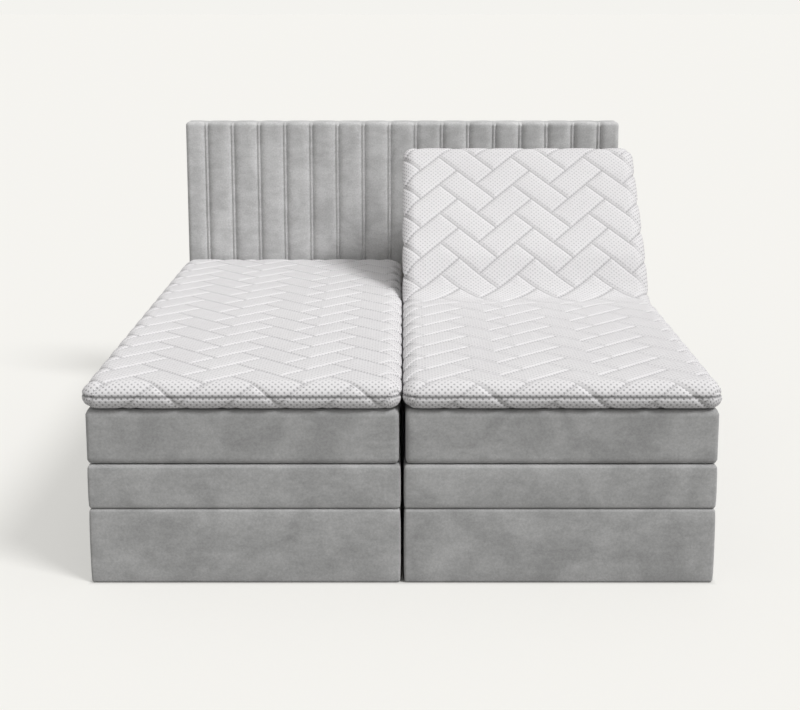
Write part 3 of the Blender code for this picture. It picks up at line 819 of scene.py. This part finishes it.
def channel_tree():
    """Pull a padded slab in along pairs of upright seams."""
    tree, size = rule_tree("sewn_channels", [
        "Pitch", "Strip", "Depth", "Pinch", "Last Crest", "Front", "Held"])
    place = add_node(tree, "ShaderNodeSeparateXYZ", {0: add_node(tree, "GeometryNodeInputPosition")})
    sideways = add_node(tree, "ShaderNodeMath", {0: place.outputs["X"]}, operation="ABSOLUTE")
    kept = add_node(tree, "ShaderNodeMath", {0: sideways, 1: size["Last Crest"]},
                    operation="MINIMUM")
    turns = add_node(tree, "ShaderNodeMath", {0: kept, 1: size["Pitch"]}, operation="DIVIDE")
    share = add_node(tree, "ShaderNodeMath", {0: turns}, operation="FRACT")
    signed = add_node(tree, "ShaderNodeMath", {0: share, 1: 0.5}, operation="SUBTRACT")
    folded = add_node(tree, "ShaderNodeMath", {0: signed}, operation="ABSOLUTE")
    away = add_node(tree, "ShaderNodeMath", {0: folded, 1: size["Pitch"]}, operation="MULTIPLY")
    half_strip = add_node(tree, "ShaderNodeMath", {0: size["Strip"], 1: 0.5}, operation="MULTIPLY")
    half_pitch = add_node(tree, "ShaderNodeMath", {0: size["Pitch"], 1: 0.5}, operation="MULTIPLY")
    # Channel: rises fast beside the seam and is nearly flat at its middle.
    fallen = add_node(tree, "ShaderNodeMapRange", {
        "Value": away, "From Min": half_strip, "From Max": half_pitch, "To Min": 1.0,
        "To Max": 0.0})
    curved = add_node(tree, "ShaderNodeMath", {0: fallen, 1: CHANNEL_FULLNESS}, operation="POWER")
    sunk = add_node(tree, "ShaderNodeMath", {0: curved, 1: size["Depth"]}, operation="MULTIPLY")
    # Strip: a small cord-like swelling between the two seams.
    strip = add_node(tree, "ShaderNodeMapRange", {
        "Value": away, "From Min": 0.0, "From Max": half_strip, "To Min": 1.0, "To Max": 0.0},
        interpolation_type="SMOOTHSTEP")
    swell_up = add_node(tree, "ShaderNodeMath", {0: strip, 1: STRIP_SWELL}, operation="MULTIPLY")
    # Seam: the thread pinches the cloth right at its line.
    off_seam = add_node(tree, "ShaderNodeMath", {0: away, 1: half_strip}, operation="SUBTRACT")
    beside = add_node(tree, "ShaderNodeMath", {0: off_seam}, operation="ABSOLUTE")
    near = add_node(tree, "ShaderNodeMapRange", {
        "Value": beside, "From Min": 0.0, "From Max": PINCH_REACH, "To Min": 1.0, "To Max": 0.0},
        interpolation_type="SMOOTHSTEP")
    pinched = add_node(tree, "ShaderNodeMath", {0: near, 1: size["Pinch"]}, operation="MULTIPLY")
    down = add_node(tree, "ShaderNodeMath", {0: sunk, 1: pinched}, operation="ADD")
    total = add_node(tree, "ShaderNodeMath", {0: swell_up, 1: down}, operation="SUBTRACT")
    # The cloth is stretched over the edge and stapled behind, so the channels flatten there.
    held = add_node(tree, "ShaderNodeMapRange", {
        "Value": place.outputs["Y"], "From Min": size["Front"], "From Max": size["Held"],
        "To Min": 1.0, "To Max": HELD_SHARE}, interpolation_type="SMOOTHSTEP")
    eased = add_node(tree, "ShaderNodeMath", {0: total, 1: held}, operation="MULTIPLY")
    move = add_node(tree, "ShaderNodeVectorMath", {
        0: add_node(tree, "GeometryNodeInputNormal"), "Scale": eased}, operation="SCALE")
    sewn = add_node(tree, "GeometryNodeSetPosition", {0: size["Geometry"], "Offset": move})
    marked = add_node(tree, "GeometryNodeStoreNamedAttribute", {
        0: sewn, "Name": "seam", "Value": near}, data_type="FLOAT", domain="POINT")
    finish_tree(tree, marked, HEADBOARD_VELVET_PAINTED_LIGHTER)
    return tree


# %% Pad the board and sew it
def padded_board():
    """The plain padded slab, standing at its place, open behind for the board."""
    low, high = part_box("headboard_cushion")
    depth = high.y - low.y
    count_x = 2 * int((high.x - HEADBOARD_ROLL) / COLUMN - 0.5) + 1
    roll = high.x - count_x * COLUMN / 2
    tall = high.z - low.z - 2 * roll
    count_z = round(tall / HEADBOARD_ROW)
    profile = arc((0.0, depth - roll), (roll, roll), 90, 0, 16) + [(roll, 0.0)]
    points, faces, _, _ = soft_slab((COLUMN, tall / count_z), (count_x, count_z), profile,
                                    HEADBOARD_RING, fan=6)
    stood = np.stack([points[:, 0], low.y + depth - points[:, 2],
                      (low.z + high.z) / 2 + points[:, 1]], axis=1)
    return mesh_object("headboard_slab", stood.tolist(), faces)


def cut_board_recess(item):
    """Take out the room of the board, so that the cushion is a true cap over it."""
    clearance, beyond = 0.0003, 0.05
    low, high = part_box("headboard_core")
    reach = Vector((clearance, clearance, clearance))
    bm = bmesh.new()
    size = (high - low) + 2 * reach + Vector((0, beyond, beyond))
    centre = (high + low) / 2 + Vector((0, beyond / 2, -beyond / 2))
    bmesh.ops.create_cube(bm, matrix=Matrix.Translation(centre) @ Matrix.Diagonal((*size, 1.0)))
    mesh = bpy.data.meshes.new("board_room")
    bm.to_mesh(mesh)
    bm.free()
    room = new_object("board_room", mesh)
    cut = item.modifiers.new("Recess", "BOOLEAN")
    cut.operation, cut.object, cut.solver = "DIFFERENCE", room, "EXACT"
    depsgraph = bpy.context.evaluated_depsgraph_get()
    kept = bpy.data.meshes.new_from_object(item.evaluated_get(depsgraph))
    item.modifiers.clear()
    item.data = kept
    bpy.data.objects.remove(room)


cushion = grow("headboard_channels", channel_tree(), {
    "Pitch": CHANNEL_PITCH, "Strip": SEAM_STRIP, "Depth": CHANNEL_DEPTH, "Pinch": 0.0016,
    "Last Crest": HEADBOARD_PAIRS / 2 * CHANNEL_PITCH,
    "Front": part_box("headboard_cushion")[0].y + 0.008,
    "Held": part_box("headboard_cushion")[0].y + 0.030}, base=padded_board())
cut_board_recess(cushion)
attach(cushion, "base")
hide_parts("headboard_cushion")


# %% [markdown]
# ## Metal, plastic, wood and board
# The working frame is mild steel. Its beams are powder coated, which bakes to a satin black skin
# with a faint orange peel, and its shafts and lift tubes are zinc plated, a cool bright metal
# with cloudy spangle. Motor housings are moulded, with the fine grain of a spark-eroded tool.

# %% Finish the steel and the plastic
def powder_coat(name, colour):
    """Baked powder: satin, with an orange peel about 1.5 mm across, drawn 3 mm wide to show."""
    material, tree, shader, place = new_material(name, 0.48)
    peel = add_node(tree, "ShaderNodeTexNoise", {
        "Vector": place, "Scale": per_metre(3.0), "Detail": 1.0})
    cloud = add_node(tree, "ShaderNodeTexNoise", {
        "Vector": place, "Scale": per_metre(90.0), "Detail": 3.0})
    dust = add_node(tree, "ShaderNodeMix", {
        0: cloud, 6: linear(colour), 7: linear("3a3b3d")}, data_type="RGBA")
    satin = add_node(tree, "ShaderNodeMapRange", {
        "Value": cloud, "From Min": 0.3, "From Max": 0.7, "To Min": 0.42, "To Max": 0.56})
    bump = add_node(tree, "ShaderNodeBump", {"Height": peel, "Strength": 0.25, "Distance": 0.0004})
    plug(shader, {"Base Color": dust, "Roughness": satin, "Normal": bump})
    return material


def zinc_plate(name, bright, dull):
    """Zinc on drawn steel: cool, cloudy, with faint draw lines along the bar."""
    material, tree, shader, place = new_material(name, 0.34, 1.0)
    along = add_node(tree, "ShaderNodeMapping", {"Vector": place, "Scale": (0.04, 1.0, 1.0)})
    draw = add_node(tree, "ShaderNodeTexNoise", {
        "Vector": along, "Scale": per_metre(1.6), "Detail": 2.0})
    spangle = add_node(tree, "ShaderNodeTexVoronoi", {
        "Vector": place, "Scale": per_metre(14.0)}, feature="SMOOTH_F1")
    tone = add_node(tree, "ShaderNodeMix", {
        0: spangle.outputs["Distance"], 6: linear(bright), 7: linear(dull)}, data_type="RGBA")
    rough = add_node(tree, "ShaderNodeMapRange", {
        "Value": draw, "From Min": 0.3, "From Max": 0.7, "To Min": 0.26, "To Max": 0.42})
    bump = add_node(tree, "ShaderNodeBump", {"Height": draw, "Strength": 0.15, "Distance": 0.0002})
    plug(shader, {"Base Color": tone, "Roughness": rough, "Normal": bump})
    return material


def moulded_plastic(name, colour):
    """Glass-filled nylon from a spark-eroded mould: matt, with a grain drawn 1.2 mm wide."""
    material, tree, shader, place = new_material(name, 0.55)
    grain = add_node(tree, "ShaderNodeTexNoise", {
        "Vector": place, "Scale": per_metre(1.2), "Detail": 2.0})
    flow = add_node(tree, "ShaderNodeTexNoise", {
        "Vector": place, "Scale": per_metre(70.0), "Detail": 2.0, "Distortion": 1.0})
    tone = add_node(tree, "ShaderNodeMix", {
        0: flow, 6: linear(colour), 7: linear("333436")}, data_type="RGBA")
    rough = add_node(tree, "ShaderNodeMapRange", {
        "Value": grain, "From Min": 0.3, "From Max": 0.7, "To Min": 0.48, "To Max": 0.62})
    bump = add_node(tree, "ShaderNodeBump", {"Height": grain, "Strength": 0.3, "Distance": 0.0003})
    plug(shader, {"Base Color": tone, "Roughness": rough, "Normal": bump})
    return material


# %% [markdown]
# Slats are birch veneers glued in a curved press, then lacquered: pale, with long fine grain.
# The headboard's board is raw particle board, a mat of flakes a few millimetres long. Its back is
# closed with black spun-bonded cloth, which carries a grid of small weld points.

# %% Finish the wood, the board and the backing cloth
def birch_laminate(name):
    """Lacquered birch: grain runs along the slat, each slat a slightly different tone."""
    material, tree, shader, place = new_material(name, 0.38)
    along = add_node(tree, "ShaderNodeMapping", {"Vector": place, "Scale": (0.035, 1.0, 1.0)})
    grain = add_node(tree, "ShaderNodeTexNoise", {
        "Vector": along, "Scale": per_metre(4.0), "Detail": 5.0, "Roughness": 0.6})
    slow = add_node(tree, "ShaderNodeMapping", {"Vector": place, "Scale": (0.15, 1.0, 1.0)})
    tone = add_node(tree, "ShaderNodeTexNoise", {
        "Vector": slow, "Scale": per_metre(85.0), "Detail": 1.0})
    streak = add_node(tree, "ShaderNodeMapRange", {
        "Value": grain, "From Min": 0.35, "From Max": 0.65}, interpolation_type="SMOOTHSTEP")
    wood = add_node(tree, "ShaderNodeMix", {
        0: streak, 6: linear("b98f5e"), 7: linear("d9b98a")}, data_type="RGBA")
    warm = add_node(tree, "ShaderNodeMix", {
        0: tone, 6: wood, 7: linear("cfa571")}, data_type="RGBA")
    bump = add_node(tree, "ShaderNodeBump", {"Height": grain, "Strength": 0.2, "Distance": 0.0003})
    plug(shader, {"Base Color": warm, "Normal": bump, "Coat Weight": 0.25,
                  "Coat Roughness": 0.25})
    return material


def particle_board(name):
    """Pressed wood flakes, 3 to 8 mm long, in mixed tones."""
    material, tree, shader, place = new_material(name, 0.8)
    flakes = add_node(tree, "ShaderNodeTexVoronoi", {"Vector": place, "Scale": per_metre(6.0)})
    tone = add_node(tree, "ShaderNodeSeparateColor", {0: flakes.outputs["Color"]})
    wood = add_node(tree, "ShaderNodeMix", {
        0: tone, 6: linear("a98a61"), 7: linear("cdb48a")}, data_type="RGBA")
    bump = add_node(tree, "ShaderNodeBump", {
        "Height": flakes.outputs["Distance"], "Strength": 0.4, "Distance": 0.0004})
    plug(shader, {"Base Color": wood, "Normal": bump})
    return material


def spun_bonded(name):
    """Black polypropylene fleece, welded in small points 2 mm apart, drawn 5 mm to show."""
    material, tree, shader, place = new_material(name, 0.85)
    welds = add_node(tree, "ShaderNodeTexVoronoi", {
        "Vector": place, "Scale": per_metre(5.0), "Randomness": 0.0})
    point = add_node(tree, "ShaderNodeMapRange", {
        "Value": welds.outputs["Distance"], "From Min": 0.15, "From Max": 0.35})
    fleece = add_node(tree, "ShaderNodeTexNoise", {
        "Vector": place, "Scale": per_metre(30.0), "Detail": 6.0, "Roughness": 0.7})
    tone = add_node(tree, "ShaderNodeMix", {
        0: fleece, 6: linear("2b2c2e"), 7: linear("4b4c4f")}, data_type="RGBA")
    welded = add_node(tree, "ShaderNodeMix", {
        0: point, 6: linear("242527"), 7: tone}, data_type="RGBA")
    bump = add_node(tree, "ShaderNodeBump", {"Height": point, "Strength": 0.4, "Distance": 0.0004})
    plug(shader, {"Base Color": welded, "Normal": bump})
    return material


FRAME_COAT = powder_coat("black_powder_coated_steel", "1c1d1f")
BRIGHT_ZINC = zinc_plate("bright_zinc_plated_steel", "c9cdd1", "9da2a7")
FIXING_ZINC = zinc_plate("blue_zinc_plated_fixings", "b4babf", "8b9197")
HOUSING_PLASTIC = moulded_plastic("moulded_black_nylon", "18191b")
HOLDER_PLASTIC = moulded_plastic("moulded_holder_rubber", "141416")
SLAT_BIRCH = birch_laminate("lacquered_birch_laminate")
BOARD_WOOD = particle_board("raw_particle_board")
BACK_CLOTH = spun_bonded("black_spun_bonded_cloth")


# %% Give each working part its finish
FINISHES = {
    "frame_steel": FRAME_COAT, "bright_steel": BRIGHT_ZINC, "fixing_steel": FIXING_ZINC,
    "drive_plastic": HOUSING_PLASTIC, "headboard_board": BOARD_WOOD,
    "headboard_back_cloth": BACK_CLOTH}
slots_of = {part["node"]: part["material_slot"] for part in frame["record"]["subparts"]}
for node, part in frame["nodes"].items():
    finish = FINISHES.get(slots_of[node])
    if finish and not part.hide_render:
        part.data.materials.clear()
        part.data.materials.append(finish)
print("finished", sum(s in FINISHES for s in slots_of.values()), "working parts")


# %% [markdown]
# ## The slats
# Each section carries sprung birch slats, pressed to a slight arch and held at both ends in
# rubber caps on a strip. A slat is one section swept along one shallow arch, and a row of
# points carries it, so the slats and their caps are two rules with the deck's own measures.

# %% Write the rules for slats and holders
SLAT_PITCH, SLAT_WIDTH, SLAT_THICK = 0.062, 0.038, 0.008
SLAT_ARCH = 0.0035
SLAT_INSET = 0.004        # how far a slat's end stays inside the holder's end
HOLDER_DROP = 0.002       # how far a holder's top stays below the slats' crown
HOLDER_LONG, HOLDER_WIDE, HOLDER_TALL = 0.050, 0.047, 0.0125


def row_of(tree, size, shape):
    """The shape at each point of a row that runs towards the head."""
    start = add_node(tree, "ShaderNodeCombineXYZ", {"Y": size["First"]})
    step = add_node(tree, "ShaderNodeCombineXYZ", {"Y": size["Pitch"]})
    row = add_node(tree, "GeometryNodeMeshLine", {
        "Count": size["Count"], "Start Location": start, "Offset": step})
    return add_node(tree, "GeometryNodeInstanceOnPoints", {"Points": row, "Instance": shape})


def swept(tree, path, width, height, corner):
    """A rounded bar: a rectangle with filleted corners, swept along a path."""
    flat = add_node(tree, "GeometryNodeCurvePrimitiveQuadrilateral", {
        "Width": width, "Height": height})
    soft = add_node(tree, "GeometryNodeFilletCurve", {0: flat, "Radius": corner, "Count": 3},
                    mode="POLY")
    upright = add_node(tree, "GeometryNodeSetCurveNormal", {0: path}, mode="Z_UP")
    return add_node(tree, "GeometryNodeCurveToMesh", {
        "Curve": upright, "Profile Curve": soft, "Fill Caps": True})


def slat_tree():
    """Arched slats in a row."""
    tree, size = rule_tree("sprung_slats", ["Count", "Pitch", "First", "Reach", "Arch", "Thick"])
    minus = add_node(tree, "ShaderNodeMath", {0: size["Reach"], 1: -1.0}, operation="MULTIPLY")
    twice = add_node(tree, "ShaderNodeMath", {0: size["Arch"], 1: 2.0}, operation="MULTIPLY")
    arch = add_node(tree, "GeometryNodeCurveQuadraticBezier", {
        "Resolution": 20, "Start": add_node(tree, "ShaderNodeCombineXYZ", {"X": minus}),
        "Middle": add_node(tree, "ShaderNodeCombineXYZ", {"Z": twice}),
        "End": add_node(tree, "ShaderNodeCombineXYZ", {"X": size["Reach"]})})
    bar = swept(tree, arch, SLAT_WIDTH, size["Thick"], 0.0022)
    finish_tree(tree, row_of(tree, size, bar), SLAT_BIRCH)
    return tree


def holder_tree():
    """Two strips, with a rounded cap over the end of every slat."""
    tree, size = rule_tree("slat_holders", ["Count", "Pitch", "First", "Reach", "Strip Long"])
    parts = add_node(tree, "GeometryNodeJoinGeometry")
    half = add_node(tree, "ShaderNodeMath", {0: size["Strip Long"], 1: 0.5}, operation="MULTIPLY")
    back = add_node(tree, "ShaderNodeMath", {0: half, 1: -1.0}, operation="MULTIPLY")
    for sign in (-1.0, 1.0):
        inner = add_node(tree, "ShaderNodeMath", {
            0: size["Reach"], 1: -HOLDER_LONG}, operation="ADD")
        ends = [add_node(tree, "ShaderNodeMath", {0: x, 1: sign}, operation="MULTIPLY")
                for x in (inner, size["Reach"])]
        path = add_node(tree, "GeometryNodeCurvePrimitiveLine", {
            "Start": add_node(tree, "ShaderNodeCombineXYZ", {"X": ends[0]}),
            "End": add_node(tree, "ShaderNodeCombineXYZ", {"X": ends[1]})})
        cap = swept(tree, path, HOLDER_WIDE, HOLDER_TALL, 0.004)
        tree.links.new(row_of(tree, size, cap).outputs[0], parts.inputs[0])
        middle = add_node(tree, "ShaderNodeMath", {
            0: size["Reach"], 1: -HOLDER_LONG / 2}, operation="ADD")
        side_x = add_node(tree, "ShaderNodeMath", {0: middle, 1: sign}, operation="MULTIPLY")
        rail = add_node(tree, "GeometryNodeCurvePrimitiveLine", {
            "Start": add_node(tree, "ShaderNodeCombineXYZ", {"X": side_x, "Y": back, "Z": -0.005}),
            "End": add_node(tree, "ShaderNodeCombineXYZ", {"X": side_x, "Y": half, "Z": -0.005})})
        strip = swept(tree, rail, 0.028, 0.0035, 0.001)
        tree.links.new(strip.outputs[0], parts.inputs[0])
    finish_tree(tree, parts, HOLDER_PLASTIC)
    return tree


# %% Lay the decks
slat_rule, holder_rule = slat_tree(), holder_tree()
DECKS = {"seat": "base", "back": "back_section", "thigh": "thigh_section", "calf": "calf_section"}


def lay_deck(side, part, body):
    """Slats and holders of one section, on its frame, raised as the section is at rest."""
    low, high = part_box(f"left_{part}_slats")
    middle, length = (low + high) / 2, high.y - low.y
    count = int((length - SLAT_WIDTH - 2 * SLAT_INSET) / SLAT_PITCH) + 1
    sizes = {"Count": count, "Pitch": SLAT_PITCH, "First": -(count - 1) * SLAT_PITCH / 2,
             "Reach": (high.x - low.x) / 2 - SLAT_INSET, "Arch": SLAT_ARCH, "Thick": SLAT_THICK,
             "Strip Long": length - SLAT_INSET}
    slats = grow(f"{side}_{part}_birch_slats", slat_rule, sizes)
    holders = grow(f"{side}_{part}_slat_holders", holder_rule,
                   {**sizes, "Reach": sizes["Reach"] + SLAT_INSET})
    pin = Vector(joints[f"{side}_back_hinge"]["pos_m"])
    slat_middle = high.z - SLAT_THICK / 2 - SLAT_ARCH
    place = Matrix.Translation((pin.x, middle.y, slat_middle))
    holder_middle = high.z - HOLDER_DROP - HOLDER_TALL / 2
    holder_place = Matrix.Translation((pin.x, middle.y, holder_middle))
    if part == "back":
        lift = Matrix.Translation(pin) @ Matrix.Rotation(raised[side], 4, "X")
        place, holder_place = (lift @ Matrix.Translation(-pin) @ m for m in (place, holder_place))
    slats.data.transform(place)
    holders.data.transform(holder_place)
    body_name = body if body == "base" else f"{side}_{body}"
    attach(slats, body_name)
    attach(holders, body_name)
    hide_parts(f"{side}_{part}_slats")


for side in SIDES:
    for part, body in DECKS.items():
        lay_deck(side, part, body)


# %% [markdown]
# ## Floor boards of the casings
# Each lower casing is closed underneath by a thin hardboard, stapled in behind the cloth.

# %% Close the casings underneath
def bottom_board(side):
    """A thin board inside the foot of the lower casing."""
    low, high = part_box(f"{side}_lower_casing")
    thick, edge = 0.011, 0.002
    inner = CASING_WALL + 0.0005
    size = (high.x - low.x - 2 * inner - 2 * edge, high.y - low.y - 2 * inner - 2 * edge)
    counts = (12, 24)
    profile = arc((0.0, thick - edge), (edge, edge), 90, 0, 3)
    profile += arc((0.0, edge), (edge, edge), 0, -90, 3)
    points, faces, _, _ = soft_slab((size[0] / counts[0], size[1] / counts[1]), counts, profile,
                                    0.002, fan=2)
    points += np.array(((low.x + high.x) / 2, (low.y + high.y) / 2, 0.0008))
    board = mesh_object(f"{side}_bottom_board", points.tolist(), faces, BOARD_WOOD)
    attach(board, "base")


for side in SIDES:
    bottom_board(side)


# %% [markdown]
# ## Camera, light and floor
# The camera stands at the foot of the bed, a little above it. Light is a plain soft studio: a
# bright ceiling, and one large soft key from the right and the front.

# %% Set the camera
LOOKS_DOWN = 10.25    # degrees
camera_data = bpy.data.cameras.new("camera")
camera_data.lens = 63.8
camera_data.sensor_width = 36.0
camera_data.shift_x, camera_data.shift_y = -0.0029, -0.12
camera = new_object("camera", camera_data)
camera.location = (0.0, -4.915, 1.653)
camera.rotation_euler = (math.radians(90 - LOOKS_DOWN), 0.0, 0.0)
bpy.context.scene.camera = camera
bpy.context.scene.view_settings.view_transform = "Standard"


# %% Lay the floor and light the studio
def studio_floor(colour, bounce, lift_colour, lift_strength, share):
    """A wide pale matt floor; the lens sees it lifted towards the even tone of the backdrop."""
    size = 200.0
    material, tree, shader, place = new_material("pale_matt_floor", 0.95)
    lift = add_node(tree, "ShaderNodeEmission", {
        "Color": linear(lift_colour), "Strength": lift_strength})
    path = add_node(tree, "ShaderNodeLightPath")
    tone = add_node(tree, "ShaderNodeMix", {
        0: path.outputs["Is Camera Ray"], 6: linear(bounce), 7: linear(colour)},
        data_type="RGBA")
    plug(shader, {"Specular IOR Level": 0.0, "Base Color": tone})
    # Not under the bed: there the floor stays as dark as it is.
    split = add_node(tree, "ShaderNodeSeparateXYZ", {0: place})
    out = []
    for axis, reach in (("X", cad_high.x), ("Y", cad_high.y)):
        away = add_node(tree, "ShaderNodeMath", {0: split.outputs[axis]}, operation="ABSOLUTE")
        out.append(add_node(tree, "ShaderNodeMath", {0: away, 1: reach}, operation="SUBTRACT"))
    beyond = add_node(tree, "ShaderNodeMath", {0: out[0], 1: out[1]}, operation="MAXIMUM")
    open_floor = add_node(tree, "ShaderNodeMapRange", {
        "Value": beyond, "From Min": -0.03, "From Max": 0.0, "To Min": 0.0, "To Max": share})
    amount = add_node(tree, "ShaderNodeMath", {
        0: path.outputs["Is Camera Ray"], 1: open_floor}, operation="MULTIPLY")
    mixed = add_node(tree, "ShaderNodeMixShader", {0: amount, 1: shader, 2: lift})
    plug(tree.nodes["Material Output"], {"Surface": mixed})
    corners = [(-size, -size, 0), (size, -size, 0), (size, size, 0), (-size, size, 0)]
    floor = mesh_object("studio_floor", corners, [(0, 1, 2, 3)], material)


def key_light(azimuth, elevation, strength, softness):
    """A sun with a wide disc, as soft as a large panel; azimuth runs from the front to the right."""
    data = bpy.data.lights.new("key", "SUN")
    data.energy = strength
    data.angle = math.radians(softness)
    light = new_object("key", data)
    a, e = math.radians(azimuth), math.radians(elevation)
    toward = Vector((math.sin(a) * math.cos(e), -math.cos(a) * math.cos(e), math.sin(e)))
    light.rotation_euler = toward.to_track_quat("Z", "Y").to_euler()


def studio_sky(zenith, horizon, backdrop):
    """Light falls mostly from above; the lens sees an even pale backdrop."""
    world = bpy.data.worlds.new("studio")
    world.use_nodes = True
    bpy.context.scene.world = world
    tree = world.node_tree
    tree.nodes.clear()
    way = add_node(tree, "ShaderNodeTexCoord").outputs["Generated"]
    split = add_node(tree, "ShaderNodeSeparateXYZ", {0: way})
    height = add_node(tree, "ShaderNodeMapRange", {
        "Value": split.outputs["Z"], "From Min": 0.0, "From Max": 0.9,
        "To Min": horizon, "To Max": zenith}, interpolation_type="SMOOTHSTEP")
    fill = add_node(tree, "ShaderNodeBackground", {"Color": linear("f8f7f5"), "Strength": height})
    seen = add_node(tree, "ShaderNodeBackground", {"Color": linear(backdrop), "Strength": 1.0})
    path = add_node(tree, "ShaderNodeLightPath")
    mixed = add_node(tree, "ShaderNodeMixShader", {
        0: path.outputs["Is Camera Ray"], 1: fill, 2: seen})
    add_node(tree, "ShaderNodeOutputWorld", {"Surface": mixed})


studio_floor(colour="cfcecb", bounce="a2a2a0", lift_colour="f4f3ef", lift_strength=1.9,
             share=0.25)
key_light(azimuth=54, elevation=48, strength=2.1, softness=18)
studio_sky(zenith=0.65, horizon=0.36, backdrop="f4f3ef")
